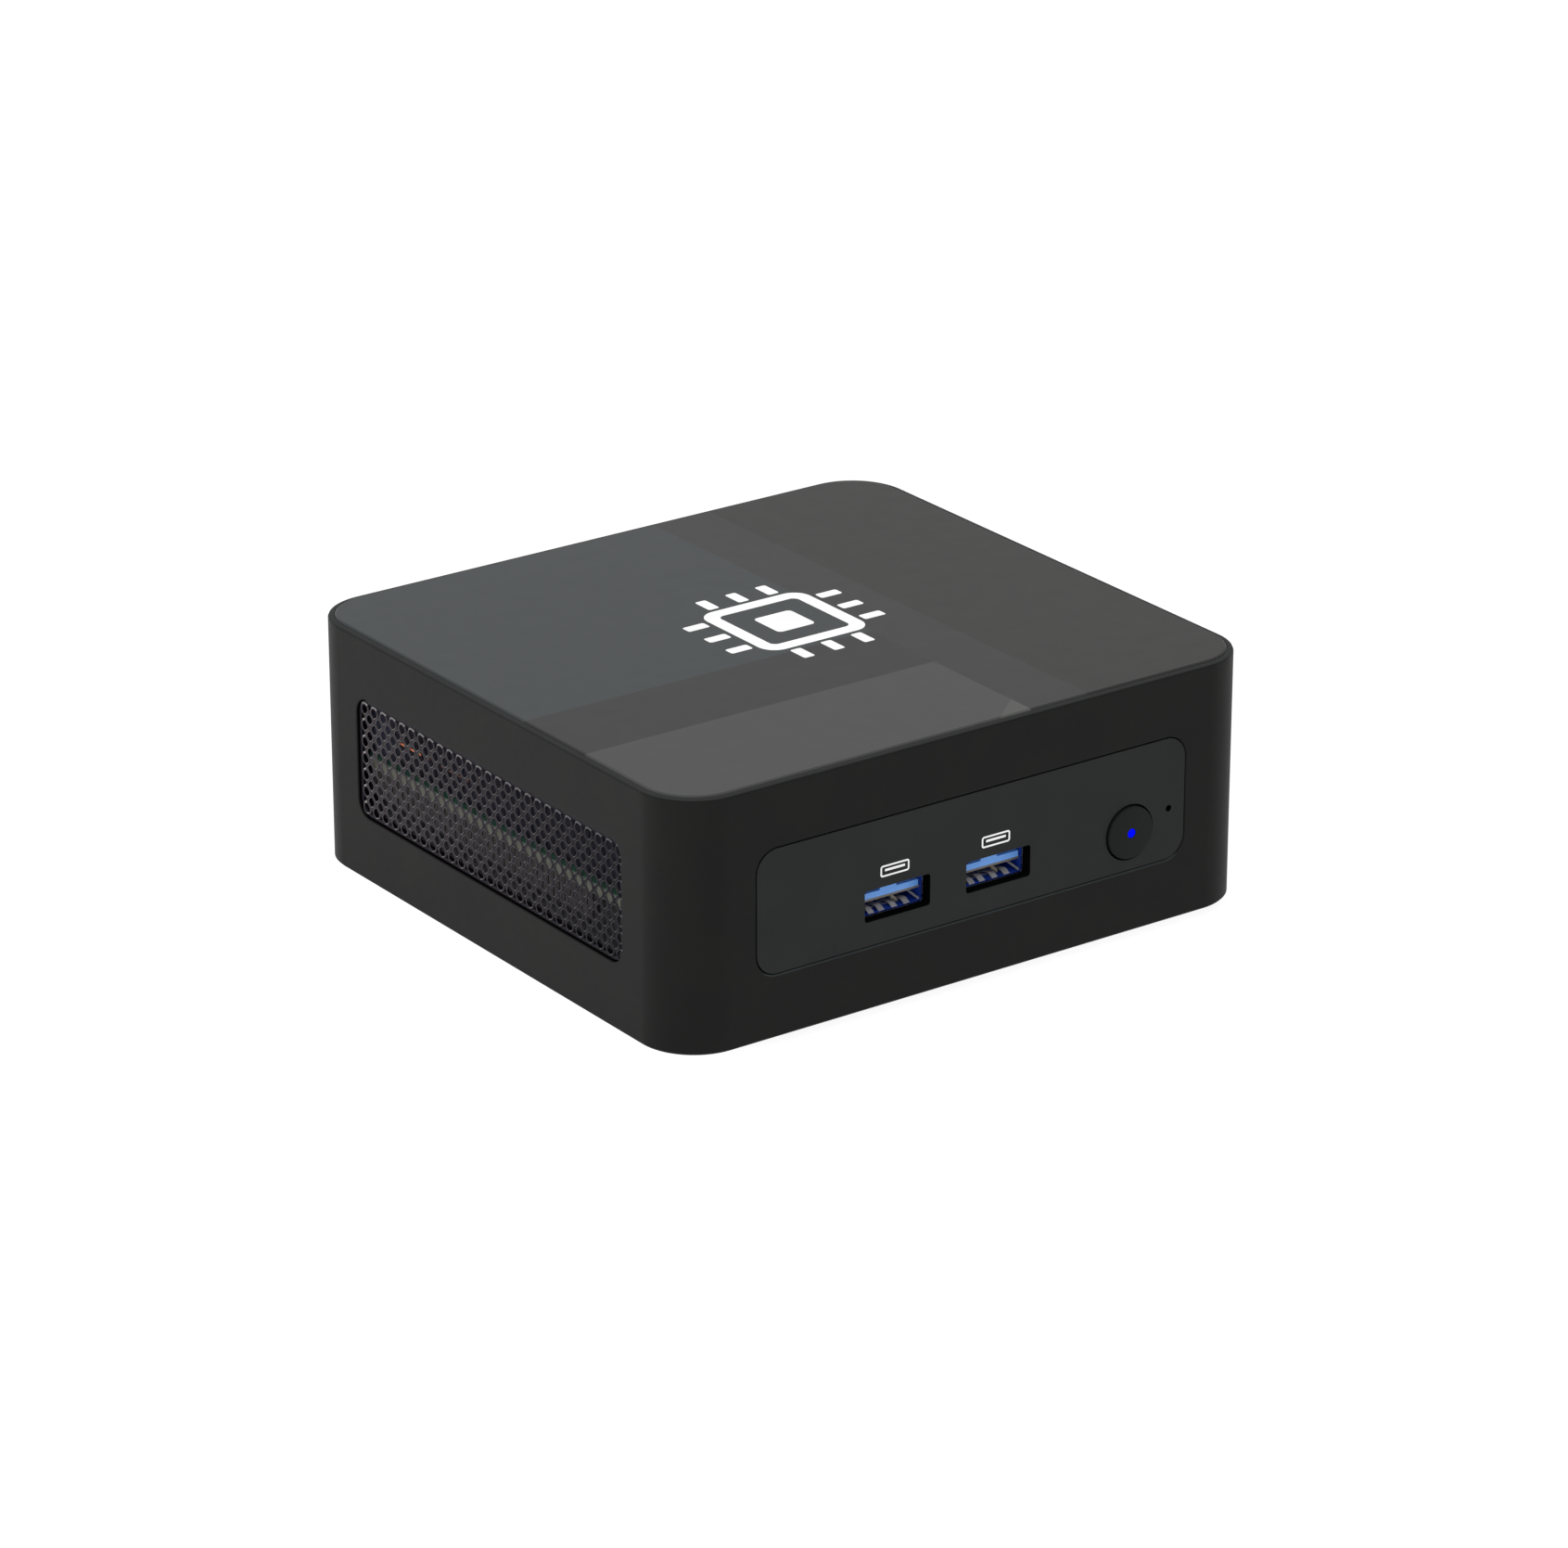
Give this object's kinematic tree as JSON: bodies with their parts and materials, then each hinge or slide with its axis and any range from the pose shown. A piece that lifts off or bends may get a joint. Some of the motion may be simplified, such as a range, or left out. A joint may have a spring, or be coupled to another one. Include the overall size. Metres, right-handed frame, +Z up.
{
  "type": "mini pc",
  "caption": "Palm-sized desktop computer with inset front and rear port panels, pierced side vents, a pressing power button, a spinning blower inside and a screwed base.",
  "frame": {"origin": "under the middle of the case, on the plane of the feet", "axes": "+X to the right seen from the front, +Y towards the rear ports, +Z up; the front panel faces -Y"},
  "size_m": [0.114, 0.1076, 0.044],
  "materials": {
    "case_plastic": "fine moulded texture",
    "lid_plastic": "satin gloss",
    "panel_plastic": "satin",
    "mesh_paint": "satin brown-black paint",
    "foot_rubber": "matte",
    "screw_steel": "black oxide",
    "socket_steel": "nickel plated",
    "usb_blue": "moulded",
    "socket_black": "moulded",
    "contact_gilt": "plated",
    "blue_lens": "clear, lit blue",
    "board_laminate": "solder mask",
    "card_laminate": "solder mask",
    "copper": "bare copper",
    "fin_aluminium": "mill finish",
    "fan_plastic": "satin",
    "silicon": "polished die on a green carrier",
    "battery_wrap": "wrapped coin cell",
    "lead_jacket": "soft jacket"
  },
  "bodies": {
    "case": {"aerial_lead_left": "lead_jacket", "aerial_lead_right": "lead_jacket", "aerial_left": "contact_gilt", "aerial_right": "contact_gilt", "audio_jack": "socket_black", "base_cover": "case_plastic", "base_screw_front_left": "screw_steel", "base_screw_front_right": "screw_steel", "base_screw_rear_left": "screw_steel", "base_screw_rear_right": "screw_steel", "case_shell": "case_plastic", "clock_battery": "battery_wrap", "cold_plate": "copper", "ethernet_jack": "socket_steel", "fan_cover": "fin_aluminium", "fan_housing": "fan_plastic", "fan_lead": "lead_jacket", "fin_stack": "fin_aluminium", "first_video_insulator": "socket_black", "first_video_shell": "socket_steel", "foot_front_left": "foot_rubber", "foot_front_right": "foot_rubber", "foot_rear_left": "foot_rubber", "foot_rear_right": "foot_rubber", "front_panel": "panel_plastic", "front_usb_left_contacts": "contact_gilt", "front_usb_left_insulator": "usb_blue", "front_usb_left_shell": "socket_steel", "front_usb_right_contacts": "contact_gilt", "front_usb_right_insulator": "usb_blue", "front_usb_right_shell": "socket_steel", "heat_pipe": "copper", "left_vent_mesh": "mesh_paint", "main_board": "board_laminate", "memory_module": "board_laminate", "memory_socket": "socket_black", "power_jack": "socket_black", "power_jack_pin": "socket_steel", "power_led": "blue_lens", "power_switch_body": "socket_black", "processor": "silicon", "radio_card": "card_laminate", "rear_panel": "panel_plastic", "rear_usb_lower_insulator": "socket_black", "rear_usb_stack_shell": "socket_steel", "rear_usb_upper_insulator": "socket_black", "reset_switch_body": "socket_black", "right_vent_mesh": "mesh_paint", "second_video_insulator": "socket_black", "second_video_shell": "socket_steel", "ssd_module": "card_laminate", "ssd_screw": "socket_steel", "ssd_socket": "socket_black", "top_cover": "lid_plastic"},
    "power_button": {"power_button": "panel_plastic", "power_light_pipe": "blue_lens"},
    "power_plunger": {"power_switch_plunger": "socket_steel"},
    "reset_plunger": {"reset_switch_plunger": "socket_steel"},
    "fan_rotor": {"fan_rotor": "fan_plastic"}
  },
  "joints": [
    {"name": "power_button_press", "type": "slide", "parent": "case", "child": "power_button", "axis": [0, 1, 0], "range_m": [0, 0.0005], "stiffness_N_per_m": 2000},
    {"name": "power_switch_press", "type": "slide", "parent": "case", "child": "power_plunger", "axis": [0, 1, 0], "range_m": [0, 0.0005]},
    {"name": "reset_switch_press", "type": "slide", "parent": "case", "child": "reset_plunger", "axis": [0, 1, 0], "range_m": [0, 0.0003], "stiffness_N_per_m": 2000},
    {"name": "fan_spin", "type": "hinge", "parent": "case", "child": "fan_rotor", "pos_m": [0.013, 0, 0.028], "axis": [0, 0, 1], "continuous": true}
  ],
  "couplings": [
    {"joint": "power_switch_press", "follows": "power_button_press", "ratio": 1}
  ]
}
